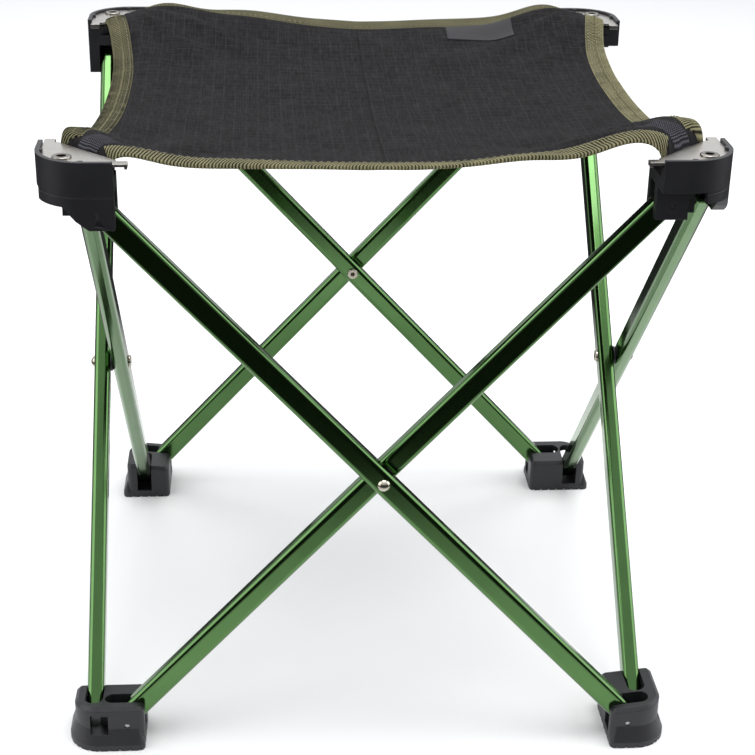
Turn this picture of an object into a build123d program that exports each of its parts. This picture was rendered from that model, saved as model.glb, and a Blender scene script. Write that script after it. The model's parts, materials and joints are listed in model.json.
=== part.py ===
from build123d import *
import math
import os

# Folding camp stool: four scissor panels of crossed tubes between four feet and four corner blocks, with a
# fabric seat clamped in the blocks. All sizes are in millimetres. The frame has its origin on the floor under
# the middle of the open seat, with +Z up and the front facing -Y. Corner 0 is front left, and corners and
# panels are counted anticlockwise from above, a quarter turn apart. Every corner and panel is built in place
# as number 0, then turned about +Z.

CORNERS = ("front_left", "front_right", "rear_right", "rear_left")
PANELS = ("front", "right", "rear", "left")

# Open frame
PIN_HALF = 125.0                     # from the middle of a panel to its pivots
PIN_RISE = 270.0                     # from the foot pivots up to the block pivots
FOOT_PIN_Z = 12.7
BLOCK_PIN_Z = FOOT_PIN_Z + PIN_RISE
OUTER_LAYER = 141.8                  # from the stool's axis to the middle of each panel's outer tube
INNER_LAYER = 132.2                  # and to the middle of its inner tube

# Tubes: flat-sided oval, hollow, wider in the plane of the panel
TUBE_W = 11.2
TUBE_T = 8.4
TUBE_R = 2.8                         # rounded edges
TUBE_WALL = 1.0
TUBE_END_D = TUBE_W + 0.4            # round of the tube's ends
TUBE_PITCH = math.hypot(2 * PIN_HALF, PIN_RISE)
TUBE_SLOPE = math.degrees(math.atan2(PIN_RISE, 2 * PIN_HALF))

# Pins, rivets and washers
PIN_D = 2.4
PIN_HOLE_D = 2.5
CENTRE_D = 4.0
CENTRE_HOLE_D = 4.1
CENTRE_HEAD_D = 6.2
CENTRE_HEAD_H = 2.0
CENTRE_TAIL_D = 6.4
CENTRE_TAIL_H = 1.3
CENTRE_TAIL_R = 0.6
CENTRE_BORE_D = 2.6
CENTRE_BORE_DEPTH = 3.0
FACE_GAP = 0.1                       # between flat faces that turn past each other
WASHER_D = 10.4
OVER = 1.0                           # a cutting solid runs past the face that it opens by this much

# Slots for the tubes in the blocks and feet
SLOT_W = TUBE_T + 0.4
SLOT_BACK = 7.0                      # from a pivot to the closed end of its slot
SLOT_MOUTH = 9.0                     # a slot's open end runs past the face by this much
OUT_SLOT = (-OUTER_LAYER - SLOT_W / 2, -OUTER_LAYER + SLOT_W / 2)
IN_SLOT = (-INNER_LAYER - SLOT_W / 2, -INNER_LAYER + SLOT_W / 2)
SLOT_END = -PIN_HALF - SLOT_BACK

# Corner block
BLOCK_OUT = 152.0                    # outer faces
BLOCK_IN = 117.5                     # ends that face the next blocks
BLOCK_R = 22.0                       # rounded outer corner
BLOCK_LOW = BLOCK_PIN_Z - 6.5        # bottom of the clevises
SKIRT_LOW = BLOCK_PIN_Z + 3.5        # bottom of the corner skirt
BODY_LOW = BLOCK_PIN_Z + 9.0         # top of the tube slots
BODY_TOP = BLOCK_PIN_Z + 14.5        # floor under the seat's corner
DECK_TOP = BLOCK_PIN_Z + 19.7        # raised deck that carries the strap
DECK_EDGE = 263.0                    # x + y along the deck's straight edge
RIM_TOP = BLOCK_PIN_Z + 23.6
RIM_T = 2.0
TAB_R = 1.5                          # snap tabs that hold the plate down
SKIRT_T = 3.6
CHEEK_OUT = 5.2                      # wall outside the inner tube's slot
CHEEK_IN = 4.2                       # walls inside the slots
END_WALL = 2.0                       # walls that close the slots
SKIRT_REACH = 137.5                  # the skirt runs round the corner to here
BODY_CUT = 9.0                       # the body's inner corner is cut off this far from the end
HOLLOW_IN = 97.5                     # a reach inside the block, for cutting its shells
APRON_STEPS = ((3.5, 0.0), (9.0, 4.0), (14.5, 10.0))    # slanted edge: past the pivot, above the bottom
TAB_AT = 6.0                         # from a pivot to its snap tab
PARTING_DEPTH = 0.3
PARTING_Z = (BODY_LOW - 1.0, BODY_LOW - 0.7)
DENT = ((0.4, -1.4), (-1.6, -4.6), (3.4, -5.4))         # moulded mark beside the front pivot
DENT_DEPTH = 0.5
BLOCK_PIN_SUNK = 0.8                 # pins end this far under the outer faces
BLOCK_PIN_SHORT = 0.4                # and this far inside the inner ones

# Gripper plate, its rivet and the strap that they clamp
PLATE_T = 1.2
PLATE_TOP = RIM_TOP - 1.4
PLATE_EDGE = 260.0                   # x + y along the straight edge
PLATE_GAP = 0.2                      # between the plate and the rim
PLATE_IN = 116.5                     # ends of the plate
EAR_REACH = 111.5
EAR_ROOT = 121.5
EAR_W = 4.8
EAR_DROP = 1.0
RIVET_AT = 139.7
RIVET_D = 6.0
RIVET_HOLE_D = 6.1
RIVET_RING_D = 8.6
RIVET_RING_H = 1.0
RIVET_RING_R = 0.7
RIVET_HEAD_D = 8.2
RIVET_HEAD_H = 1.5
RIVET_HEAD_R = 1.0
RIVET_BORE_D = 4.2
RIVET_BORE_DEPTH = 7.0
STRAP_W = 25.0
STRAP_GAP = 0.4                      # between the strap and the rim
STRAP_BACK = 1.5                     # the strap shows this far past the plate's edge
LAYER_GAP = 0.1                      # above and below the strap, and round its rivet

# Foot
FOOT_H = 23.4
FOOT_FALL = 3.0                      # the top drops by this much towards the end of the side slot
FOOT_FRONT = 142.8                   # face outside the inner tube
FOOT_SIDE = 151.5                    # face outside the outer tube
FOOT_IN = 116.5                      # faces where the tubes leave
FOOT_FLARE = 3.0
FOOT_SOLE = 3.2                      # height of the flared sole
FOOT_FLARE_H = 8.0                   # the flare fades out over this height
FOOT_R = 13.0
FOOT_END_R = 3.2
FOOT_CHAMFER = 1.8
SLOT_FLOOR = 4.6
FOOT_MOUTH = 10.0
FOOT_PIN_SUNK = 0.6
FOOT_PIN_GRIP = (6.0, 5.0)           # the pins run this far past the front and the side slot
FOOT_PIN_SPARE = 0.2                 # their holes are deeper by this much
WINDOW_X = (-143.2, -134.4)          # opening in the front face, into the side slot
WINDOW_Z = (8.5, 18.8)
WINDOW_DEPTH = 7.6
TREAD_PITCH = 5.0
TREAD_DEPTH = 1.2
TREAD_W = 1.8
TREAD_LONG = 30.0                    # half the length that a groove is cut to
TREAD_COUNT = (3, 2)                 # grooves each side of the middle, across X and across Y

# Seat: a dished sheet with concave edges, bound with folded tape
SEAT_MID_Z = 287.8                   # middle of the sheet at the stool's axis
SEAT_DISH_R = 1190.0
SEAT_T = 2.4
SEAT_TIP = (116.0, 141.0)            # where each edge meets the cut-off corner
SEAT_EDGE_MID = 130.0
BINDING_W = 12.5
BINDING_T = 0.8
BINDING_GAP = 0.1                    # between the folded tape and the sheet
SEAT_SPLIT = 0.2                     # each half stops this far from the fold line
LABEL = (38.0, 19.0, 0.6)
LABEL_AT = (70.0, 107.0)
LABEL_GAP = 0.5                      # under the label
SEAT_LOW = SEAT_MID_Z - 20.0         # the seat lies between these two heights
SEAT_HIGH = SEAT_MID_Z + 40.0
FAR = 200.0                          # half of a space wider than the stool


def turned(shape, corner):
    """The shape of corner 0 or of the front panel, turned to another one."""
    return Rot(0, 0, 90 * corner) * shape


def block(x0, x1, y0, y1, z0, z1):
    """A box between two corners."""
    mid = Pos((x0 + x1) / 2, (y0 + y1) / 2, (z0 + z1) / 2)
    return mid * Box(abs(x1 - x0), abs(y1 - y0), abs(z1 - z0))


def rod_y(x, z, diameter, y0, y1):
    """A round rod along Y."""
    return Pos(x, (y0 + y1) / 2, z) * Rot(90, 0, 0) * Cylinder(diameter / 2, abs(y1 - y0))


def rod_x(y, z, diameter, x0, x1):
    """A round rod along X."""
    return Pos((x0 + x1) / 2, y, z) * Rot(0, 90, 0) * Cylinder(diameter / 2, abs(x1 - x0))


def prism(face, z0, z1):
    """A face of the XY plane carried from one height to another."""
    return Pos(0, 0, z0) * extrude(face, z1 - z0)


def corner_face(reach, inner, radius):
    """The square of corner 0 between two reaches from the axis, with its outer corner rounded."""
    points = [(-inner, -inner), (-reach, -inner), (-reach, -reach), (-inner, -reach)]
    face = make_face(Polyline(*points, close=True))
    outer = face.vertices().sort_by(lambda v: v.X + v.Y)[0]
    return fillet(outer, radius)


# ---------------------------------------------------------------- tubes

def tube(layer, lean):
    """A tube with rounded ends, across the front panel: lean is 1 down to the right, -1 down to the left."""
    half = TUBE_PITCH / 2 + TUBE_W
    skin = extrude(Plane.YZ * RectangleRounded(TUBE_T, TUBE_W, TUBE_R), half, both=True)
    hollow = RectangleRounded(TUBE_T - 2 * TUBE_WALL, TUBE_W - 2 * TUBE_WALL, TUBE_R - TUBE_WALL)
    core = extrude(Plane.YZ * hollow, half, both=True)
    ends = SlotOverall(TUBE_PITCH + TUBE_W, TUBE_END_D)
    blank = (skin - core) & extrude(Plane.XZ * ends, TUBE_T, both=True)
    for x in (-TUBE_PITCH / 2, TUBE_PITCH / 2):
        blank -= rod_y(x, 0, PIN_HOLE_D, -TUBE_T, TUBE_T)
    blank -= rod_y(0, 0, CENTRE_HOLE_D, -TUBE_T, TUBE_T)
    middle = Pos(0, -layer, FOOT_PIN_Z + PIN_RISE / 2)
    return middle * Rot(0, lean * TUBE_SLOPE, 0) * blank


def centre_rivet():
    """Domed rivet through both tubes of the front panel, with a hollow tail on the inner side."""
    z = FOOT_PIN_Z + PIN_RISE / 2
    outside = -OUTER_LAYER - TUBE_T / 2 - FACE_GAP / 2
    inside = -INNER_LAYER + TUBE_T / 2 + FACE_GAP / 2
    dome_r = (CENTRE_HEAD_D ** 2 / 4 + CENTRE_HEAD_H ** 2) / (2 * CENTRE_HEAD_H)
    dome = Pos(0, outside - CENTRE_HEAD_H + dome_r, z) * Sphere(dome_r)
    head = dome & rod_y(0, z, CENTRE_HEAD_D + OVER, outside - CENTRE_HEAD_H - OVER, outside)
    shank = rod_y(0, z, CENTRE_D, outside - CENTRE_HEAD_H / 2, inside + CENTRE_TAIL_H / 2)
    tail = rod_y(0, z, CENTRE_TAIL_D, inside, inside + CENTRE_TAIL_H)
    tail = fillet(tail.edges().sort_by(Axis.Y)[-1], CENTRE_TAIL_R)
    bore = rod_y(0, z, CENTRE_BORE_D, inside - CENTRE_BORE_DEPTH, inside + CENTRE_TAIL_H + OVER)
    return head + shank + tail - bore


def spacer_washer():
    """Washer between the two tubes of the front panel."""
    z = FOOT_PIN_Z + PIN_RISE / 2
    y0 = -OUTER_LAYER + TUBE_T / 2 + FACE_GAP
    y1 = -INNER_LAYER - TUBE_T / 2 - FACE_GAP
    return rod_y(0, z, WASHER_D, y0, y1) - rod_y(0, z, CENTRE_HOLE_D, y0 - OVER, y1 + OVER)


# ---------------------------------------------------------------- corner block

def block_slots():
    """The room that both tubes need in corner block 0."""
    front = block(SLOT_END, -BLOCK_IN + SLOT_MOUTH, *OUT_SLOT, BLOCK_LOW - OVER, BODY_LOW)
    side = block(*IN_SLOT, SLOT_END, -BLOCK_IN + SLOT_MOUTH, BLOCK_LOW - OVER, BODY_LOW)
    return front + side


def block_pin_spans():
    """Where the pins of corner block 0 start and end: along Y in the front, along X in the side."""
    front = (-BLOCK_OUT + BLOCK_PIN_SUNK, OUT_SLOT[1] + CHEEK_IN - BLOCK_PIN_SHORT)
    side = (IN_SLOT[0] - CHEEK_OUT + BLOCK_PIN_SUNK, IN_SLOT[1] + CHEEK_IN - BLOCK_PIN_SHORT)
    return front, side


def corner_triangle(total):
    """The part of the XY plane at corner 0 where the distances from both axes add up to more than a total."""
    far = BLOCK_OUT + OVER
    return make_face(Polyline((-far, -total + far), (-total + far, -far), (-far, -far), close=True))


def shell_face(depth, inner):
    """Plan of a wall of a given depth that follows the outer faces of corner block 0, from an inner reach."""
    return corner_face(BLOCK_OUT, inner, BLOCK_R) - corner_face(BLOCK_OUT - depth, HOLLOW_IN, BLOCK_R - depth)


def block_body():
    """Floor of corner block 0, with its inner corner cut off, and the raised deck on it."""
    inner = IN_SLOT[1] + CHEEK_IN
    front = OUT_SLOT[1] + CHEEK_IN
    points = [
        (-BLOCK_IN, -BLOCK_OUT), (-BLOCK_IN, front), (inner, -BLOCK_IN - BODY_CUT),
        (inner, -BLOCK_IN), (-BLOCK_OUT, -BLOCK_IN), (-BLOCK_OUT, -BLOCK_OUT),
    ]
    body = prism(make_face(Polyline(*points, close=True)), BODY_LOW, BODY_TOP)
    deck_face = corner_face(BLOCK_OUT, BLOCK_IN, BLOCK_R) & corner_triangle(DECK_EDGE)
    return body + prism(deck_face, BODY_TOP, DECK_TOP)


def block_apron():
    """Wall outside the front slot of corner block 0, with a slanted lower corner."""
    points = [(-BLOCK_IN, BLOCK_LOW)]
    points += [(-PIN_HALF - past, BLOCK_LOW + up) for past, up in APRON_STEPS]
    points += [(points[-1][0], BODY_LOW), (-BLOCK_IN, BODY_LOW)]
    face = Plane.XZ * make_face(Polyline(*points, close=True))
    return Pos(0, -BLOCK_OUT, 0) * extrude(face, OUT_SLOT[0] + BLOCK_OUT, dir=(0, 1, 0))


def block_walls():
    """Cheeks and end walls of the two clevises of corner block 0."""
    inner = IN_SLOT[1] + CHEEK_IN
    front = OUT_SLOT[1] + CHEEK_IN
    outer = IN_SLOT[0] - CHEEK_OUT
    return [
        block(SLOT_END, -BLOCK_IN, OUT_SLOT[1], front, BLOCK_LOW, BODY_LOW),
        block(SLOT_END - END_WALL, SLOT_END, -BLOCK_OUT, front, SKIRT_LOW, BODY_LOW),
        block(outer, IN_SLOT[0], SLOT_END, -BLOCK_IN, BLOCK_LOW, BODY_LOW),
        block(IN_SLOT[1], inner, SLOT_END, -BLOCK_IN, BLOCK_LOW, BODY_LOW),
        block(outer, inner, SLOT_END - END_WALL, SLOT_END, SKIRT_LOW, BODY_LOW),
    ]


def block_tabs():
    """Two snap tabs on the rim of corner block 0, just over the plate."""
    low = PLATE_TOP + FACE_GAP
    near, far = -PIN_HALF - TAB_AT, -BLOCK_OUT + RIM_T
    tabs = []
    for x, y in ((far, near), (near, far)):
        tabs.append(Pos(x, y, (low + RIM_TOP) / 2) * Cylinder(TAB_R, RIM_TOP - low))
    return tabs


def block_dent():
    """Small moulded mark in the front of corner block 0."""
    points = [(-PIN_HALF + dx, BLOCK_PIN_Z + dz) for dx, dz in DENT]
    face = Plane.XZ * make_face(Polyline(*points, close=True))
    return Pos(0, -BLOCK_OUT, 0) * extrude(face, DENT_DEPTH, both=True)


def corner_block():
    """Moulded block of corner 0: a rounded shell with a rim for the plate, and a clevis for each tube."""
    envelope = prism(corner_face(BLOCK_OUT, BLOCK_IN, BLOCK_R), BLOCK_LOW, RIM_TOP)
    rim = prism(shell_face(RIM_T, BLOCK_IN), BODY_LOW, RIM_TOP)
    skirt = prism(shell_face(SKIRT_T, BLOCK_IN), SKIRT_LOW, BODY_LOW) & block(
        -BLOCK_OUT, -BLOCK_IN, -BLOCK_OUT, -SKIRT_REACH, SKIRT_LOW, BODY_LOW)
    solid = block_body() + rim + skirt + block_apron()
    for wall in block_walls():
        solid += wall
    solid = (solid & envelope) - block_slots()
    for tab in block_tabs():
        solid += tab & envelope
    solid -= prism(shell_face(PARTING_DEPTH, BLOCK_IN), *PARTING_Z)
    solid -= block_dent()
    (front0, front1), (side0, side1) = block_pin_spans()
    solid -= rod_y(-PIN_HALF, BLOCK_PIN_Z, PIN_HOLE_D, front0 - OVER, front1 + OVER)
    solid -= rod_x(-PIN_HALF, BLOCK_PIN_Z, PIN_HOLE_D, side0 - OVER, side1 + OVER)
    depth = DECK_TOP - BODY_LOW + 2 * OVER
    return solid - Pos(-RIVET_AT, -RIVET_AT, (DECK_TOP + BODY_LOW) / 2) * Cylinder(RIVET_HOLE_D / 2, depth)


def block_pins():
    """The two pins of corner block 0."""
    (front0, front1), (side0, side1) = block_pin_spans()
    return Compound(children=[
        rod_y(-PIN_HALF, BLOCK_PIN_Z, PIN_D, front0, front1),
        rod_x(-PIN_HALF, BLOCK_PIN_Z, PIN_D, side0, side1),
    ])


def gripper_plate():
    """Metal plate that clamps the seat's corner strap in the rim of corner block 0, with turned-down ears."""
    reach = BLOCK_OUT - RIM_T - PLATE_GAP
    face = corner_face(reach, PLATE_IN, BLOCK_R - RIM_T - PLATE_GAP) & corner_triangle(PLATE_EDGE)
    low = PLATE_TOP - PLATE_T
    plate = prism(face, low, PLATE_TOP)
    ear = block(-EAR_ROOT, -EAR_REACH, -reach, -reach + EAR_W, low, PLATE_TOP)
    ear += block(-EAR_REACH - PLATE_T, -EAR_REACH, -reach, -reach + EAR_W, low - EAR_DROP, PLATE_TOP)
    plate += ear + mirror(ear, about=Plane((0, 0, 0), z_dir=(1, -1, 0)))
    return plate - Pos(-RIVET_AT, -RIVET_AT, PLATE_TOP) * Cylinder(RIVET_HOLE_D / 2, 2 * (PLATE_T + OVER))


def plate_rivet():
    """Hollow rivet of corner 0: rolled ring on the plate, closed head under the block."""
    ring_low = PLATE_TOP + FACE_GAP / 5
    top = ring_low + RIVET_RING_H
    low = BODY_LOW - FACE_GAP / 2
    at = Pos(-RIVET_AT, -RIVET_AT, 0)
    ring = at * Pos(0, 0, ring_low + RIVET_RING_H / 2) * Cylinder(RIVET_RING_D / 2, RIVET_RING_H)
    ring = fillet(ring.edges().sort_by(Axis.Z)[-1], RIVET_RING_R)
    shank_top = top - RIVET_RING_H / 2
    shank = at * Pos(0, 0, (low + shank_top) / 2) * Cylinder(RIVET_D / 2, shank_top - low)
    head = at * Pos(0, 0, low - RIVET_HEAD_H / 2) * Cylinder(RIVET_HEAD_D / 2, RIVET_HEAD_H)
    head = fillet(head.edges().sort_by(Axis.Z)[0], RIVET_HEAD_R)
    bore_low = top - RIVET_BORE_DEPTH
    bore = at * Pos(0, 0, (bore_low + top + OVER) / 2) * Cylinder(RIVET_BORE_D / 2, RIVET_BORE_DEPTH + OVER)
    return ring + shank + head - bore


def corner_strap():
    """The doubled end of the seat's corner webbing, clamped under the plate of corner 0."""
    reach = BLOCK_OUT - RIM_T - STRAP_GAP
    face = corner_face(reach, HOLLOW_IN, BLOCK_R - RIM_T - STRAP_GAP)
    half = STRAP_W / math.sqrt(8)
    inner = (PLATE_EDGE - STRAP_BACK) / 2
    outer = reach + 2 * half
    band = make_face(Polyline(
        (-inner - half, -inner + half), (-inner + half, -inner - half),
        (-outer + half, -outer - half), (-outer - half, -outer + half), close=True))
    strap = prism(face & band, DECK_TOP + LAYER_GAP, PLATE_TOP - PLATE_T - LAYER_GAP)
    hole = Cylinder(RIVET_D / 2 + LAYER_GAP, 2 * (PLATE_TOP - DECK_TOP))
    return strap - Pos(-RIVET_AT, -RIVET_AT, PLATE_TOP) * hole


# ---------------------------------------------------------------- foot

def foot_pin_spans():
    """Where the pins of foot 0 start and end: along Y in the front, along X in the side."""
    front = (-FOOT_FRONT + FOOT_PIN_SUNK, IN_SLOT[1] + FOOT_PIN_GRIP[0])
    side = (-FOOT_SIDE + FOOT_PIN_SUNK, OUT_SLOT[1] + FOOT_PIN_GRIP[1])
    return front, side


def foot_face(grow, radius):
    """Plan of foot 0, grown on its two outer sides."""
    x0, x1 = -FOOT_SIDE - grow, -FOOT_IN
    y0, y1 = -FOOT_FRONT - grow, -FOOT_IN
    face = make_face(Polyline((x0, y0), (x1, y0), (x1, y1), (x0, y1), close=True))
    corners = face.vertices().sort_by(lambda v: v.X + v.Y)
    face = fillet(corners[0], radius)
    rest = [v for v in face.vertices() if v.X > x1 - OVER or v.Y > y1 - OVER]
    return fillet(rest, FOOT_END_R)


def tread_grooves():
    """Crossed grooves under the sole of foot 0."""
    points = [(-TREAD_W / 2, 0), (TREAD_W / 2, 0), (0, TREAD_DEPTH)]
    face = make_face(Polyline(*points, close=True))
    along_y = extrude(Plane.XZ * face, TREAD_LONG, both=True)
    along_x = extrude(Plane.YZ * face, TREAD_LONG, both=True)
    middle = Pos(-(FOOT_SIDE + FOOT_IN) / 2, -(FOOT_FRONT + FOOT_IN) / 2, 0)
    across_x, across_y = TREAD_COUNT
    grooves = [middle * Pos(n * TREAD_PITCH, 0, 0) * along_y for n in range(-across_x, across_x + 1)]
    grooves += [middle * Pos(0, n * TREAD_PITCH, 0) * along_x for n in range(-across_y, across_y + 1)]
    return grooves


def foot_shell():
    """Outside of foot 0: sloping chamfered top, straight sides and a flared sole."""
    upright = prism(foot_face(0, FOOT_R), 0, FOOT_H + FOOT_FALL)
    fall = math.degrees(math.atan2(FOOT_FALL, FOOT_FRONT - FOOT_IN))
    above = Pos(0, -FOOT_FRONT, FOOT_H) * Rot(-fall, 0, 0) * Pos(0, 0, FOOT_H / 2) * Box(2 * FAR, FAR, FOOT_H)
    upright = chamfer((upright - above).faces().sort_by(Axis.Z)[-1].edges(), FOOT_CHAMFER)
    sole_face = foot_face(FOOT_FLARE, FOOT_R + FOOT_FLARE)
    taper = math.degrees(math.atan2(FOOT_FLARE, FOOT_FLARE_H))
    flare = Pos(0, 0, FOOT_SOLE) * extrude(sole_face, FOOT_FLARE_H, taper=taper)
    return upright + prism(sole_face, 0, FOOT_SOLE) + flare


def foot():
    """Moulded foot of corner 0, with a round-ended slot for each tube and a treaded, flared sole."""
    top = FOOT_H + OVER
    front_slot = block(SLOT_END, -FOOT_IN + FOOT_MOUTH, *IN_SLOT, SLOT_FLOOR, top)
    side_slot = block(*OUT_SLOT, SLOT_END, -FOOT_IN + FOOT_MOUTH, SLOT_FLOOR, top)
    round_end = Cylinder(SLOT_W / 2, top - SLOT_FLOOR)
    solid = foot_shell()
    solid -= front_slot + Pos(SLOT_END, -INNER_LAYER, (SLOT_FLOOR + top) / 2) * round_end
    solid -= side_slot + Pos(-OUTER_LAYER, SLOT_END, (SLOT_FLOOR + top) / 2) * round_end
    solid -= block(*WINDOW_X, -FOOT_FRONT - FOOT_FLARE - OVER, -FOOT_FRONT + WINDOW_DEPTH, *WINDOW_Z)
    for groove in tread_grooves():
        solid -= groove
    (front0, front1), (side0, side1) = foot_pin_spans()
    outside = FOOT_PIN_SUNK + FOOT_FLARE + OVER
    solid -= rod_y(-PIN_HALF, FOOT_PIN_Z, PIN_HOLE_D, front0 - outside, front1 + FOOT_PIN_SPARE)
    solid -= rod_x(-PIN_HALF, FOOT_PIN_Z, PIN_HOLE_D, side0 - outside, side1 + FOOT_PIN_SPARE)
    return solid


def foot_pins():
    """The two pins of foot 0."""
    (front0, front1), (side0, side1) = foot_pin_spans()
    return Compound(children=[
        rod_y(-PIN_HALF, FOOT_PIN_Z, PIN_D, front0, front1),
        rod_x(-PIN_HALF, FOOT_PIN_Z, PIN_D, side0, side1),
    ])


# ---------------------------------------------------------------- seat

def seat_face(inset):
    """Plan of the whole seat, with every concave edge moved inwards."""
    far, mid = SEAT_TIP[1] - inset, SEAT_EDGE_MID - inset
    near = SEAT_TIP[0]
    lines = []
    for k in range(4):
        edge = ThreePointArc((-near, -far), (0, -mid), (near, -far))
        cut = Line((near, -far), (far, -near))
        lines += [Rot(0, 0, 90 * k) * edge, Rot(0, 0, 90 * k) * cut]
    return make_face(lines)


def dish(low, high):
    """The space between two dished surfaces, given by their offsets from the middle of the seat's sheet."""
    centre = Pos(0, 0, SEAT_MID_Z + SEAT_DISH_R)
    slab = block(-FAR, FAR, -FAR, FAR, SEAT_LOW, SEAT_HIGH)
    return (slab & (centre * Sphere(SEAT_DISH_R - low))) - centre * Sphere(SEAT_DISH_R - high)


def half_space(side):
    """The space beside the fold line: -1 on the left, 1 on the right."""
    return block(side * SEAT_SPLIT, side * FAR, -FAR, FAR, SEAT_LOW - OVER, SEAT_HIGH + OVER)


def seat_halves():
    """The seat's sheet in two halves, left then right of the fold line."""
    plan = seat_face(BINDING_T + 2 * BINDING_GAP)
    sheet = prism(plan, SEAT_LOW, SEAT_HIGH) & dish(-SEAT_T / 2, SEAT_T / 2)
    return sheet & half_space(-1), sheet & half_space(1)


def bindings():
    """Tape folded over each edge of the seat: each stretch by name, with front and rear in halves."""
    over = SEAT_T / 2 + BINDING_GAP
    wrap = prism(seat_face(0) - seat_face(BINDING_W), SEAT_LOW, SEAT_HIGH)
    inside = prism(seat_face(BINDING_T + BINDING_GAP), SEAT_LOW, SEAT_HIGH) & dish(-over, over)
    tape = (wrap & dish(-over - BINDING_T, over + BINDING_T)) - inside
    wedge = make_face(Polyline((0, 0), (FAR, -FAR), (-FAR, -FAR), close=True))
    front = tape & prism(wedge, SEAT_LOW, SEAT_HIGH)
    stretches = {}
    for k, panel in enumerate(PANELS):
        whole = turned(front, k)
        if panel in ("front", "rear"):
            stretches[f"binding_{panel}_left"] = whole & half_space(-1)
            stretches[f"binding_{panel}_right"] = whole & half_space(1)
        else:
            stretches[f"binding_{panel}"] = whole
    return stretches


def seat_label():
    """Plain woven label sewn on the seat near its rear edge."""
    x, y = LABEL_AT
    length, width, thickness = LABEL
    surface = SEAT_MID_Z + (x * x + y * y) / (2 * SEAT_DISH_R) + SEAT_T / 2
    tilt_x = math.degrees(math.atan2(y, SEAT_DISH_R))
    tilt_y = -math.degrees(math.atan2(x, SEAT_DISH_R))
    at = Pos(x, y, surface + LABEL_GAP + thickness / 2)
    return at * Rot(tilt_x, tilt_y, 0) * Box(length, width, thickness)


# ---------------------------------------------------------------- all nodes

def nodes():
    """Every node of the stool by name."""
    made = {}
    for k, corner in enumerate(CORNERS):
        made[f"foot_{corner}"] = turned(foot(), k)
        made[f"foot_pins_{corner}"] = turned(foot_pins(), k)
        made[f"corner_block_{corner}"] = turned(corner_block(), k)
        made[f"block_pins_{corner}"] = turned(block_pins(), k)
        made[f"gripper_plate_{corner}"] = turned(gripper_plate(), k)
        made[f"plate_rivet_{corner}"] = turned(plate_rivet(), k)
        made[f"corner_strap_{corner}"] = turned(corner_strap(), k)
    for k, panel in enumerate(PANELS):
        made[f"tube_{panel}_outer"] = turned(tube(OUTER_LAYER, 1), k)
        made[f"tube_{panel}_inner"] = turned(tube(INNER_LAYER, -1), k)
        made[f"centre_rivet_{panel}"] = turned(centre_rivet(), k)
        made[f"spacer_washer_{panel}"] = turned(spacer_washer(), k)
    made["seat_panel_left"], made["seat_panel_right"] = seat_halves()
    made.update(bindings())
    made["seat_label"] = seat_label()
    return made


if __name__ == "__main__":
    os.makedirs("parts", exist_ok=True)
    for name, shape in nodes().items():
        export_step(shape, f"parts/{name}.step")
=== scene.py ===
import enum
import json
import logging
import math
from dataclasses import dataclass, field

import bpy
import numpy as np
from mathutils import Matrix, Vector


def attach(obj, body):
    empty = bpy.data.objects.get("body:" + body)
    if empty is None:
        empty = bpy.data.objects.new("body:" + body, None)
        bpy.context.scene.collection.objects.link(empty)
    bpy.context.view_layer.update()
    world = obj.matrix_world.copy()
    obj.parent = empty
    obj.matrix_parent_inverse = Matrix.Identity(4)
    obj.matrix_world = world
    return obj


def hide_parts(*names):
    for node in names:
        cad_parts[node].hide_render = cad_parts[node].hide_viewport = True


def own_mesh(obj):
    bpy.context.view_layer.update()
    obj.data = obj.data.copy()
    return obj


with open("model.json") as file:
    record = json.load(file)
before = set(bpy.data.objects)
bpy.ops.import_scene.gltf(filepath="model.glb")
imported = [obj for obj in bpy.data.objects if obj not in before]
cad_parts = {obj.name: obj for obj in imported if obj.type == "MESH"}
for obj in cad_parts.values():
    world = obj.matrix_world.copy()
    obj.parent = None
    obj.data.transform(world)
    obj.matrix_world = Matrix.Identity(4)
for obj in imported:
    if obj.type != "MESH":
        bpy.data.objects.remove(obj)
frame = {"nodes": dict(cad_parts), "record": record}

MM = 0.001
LOG = logging.getLogger("stool")
CORNERS = ("front_left", "front_right", "rear_right", "rear_left")
PANELS = ("front", "right", "rear", "left")
RIB_PITCH = 1.5 * MM
RIB_SLANT = 0.55
BEVEL_SAMPLES = 4
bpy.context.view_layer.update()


class Side(enum.Enum):
    """The two halves of the seat, with the sign of their x."""

    LEFT = -1
    RIGHT = 1

    @property
    def word(self) -> str:
        """The side's name in lower case."""
        return self.name.lower()


# ---------------------------------------------------------------- shader maths

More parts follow.
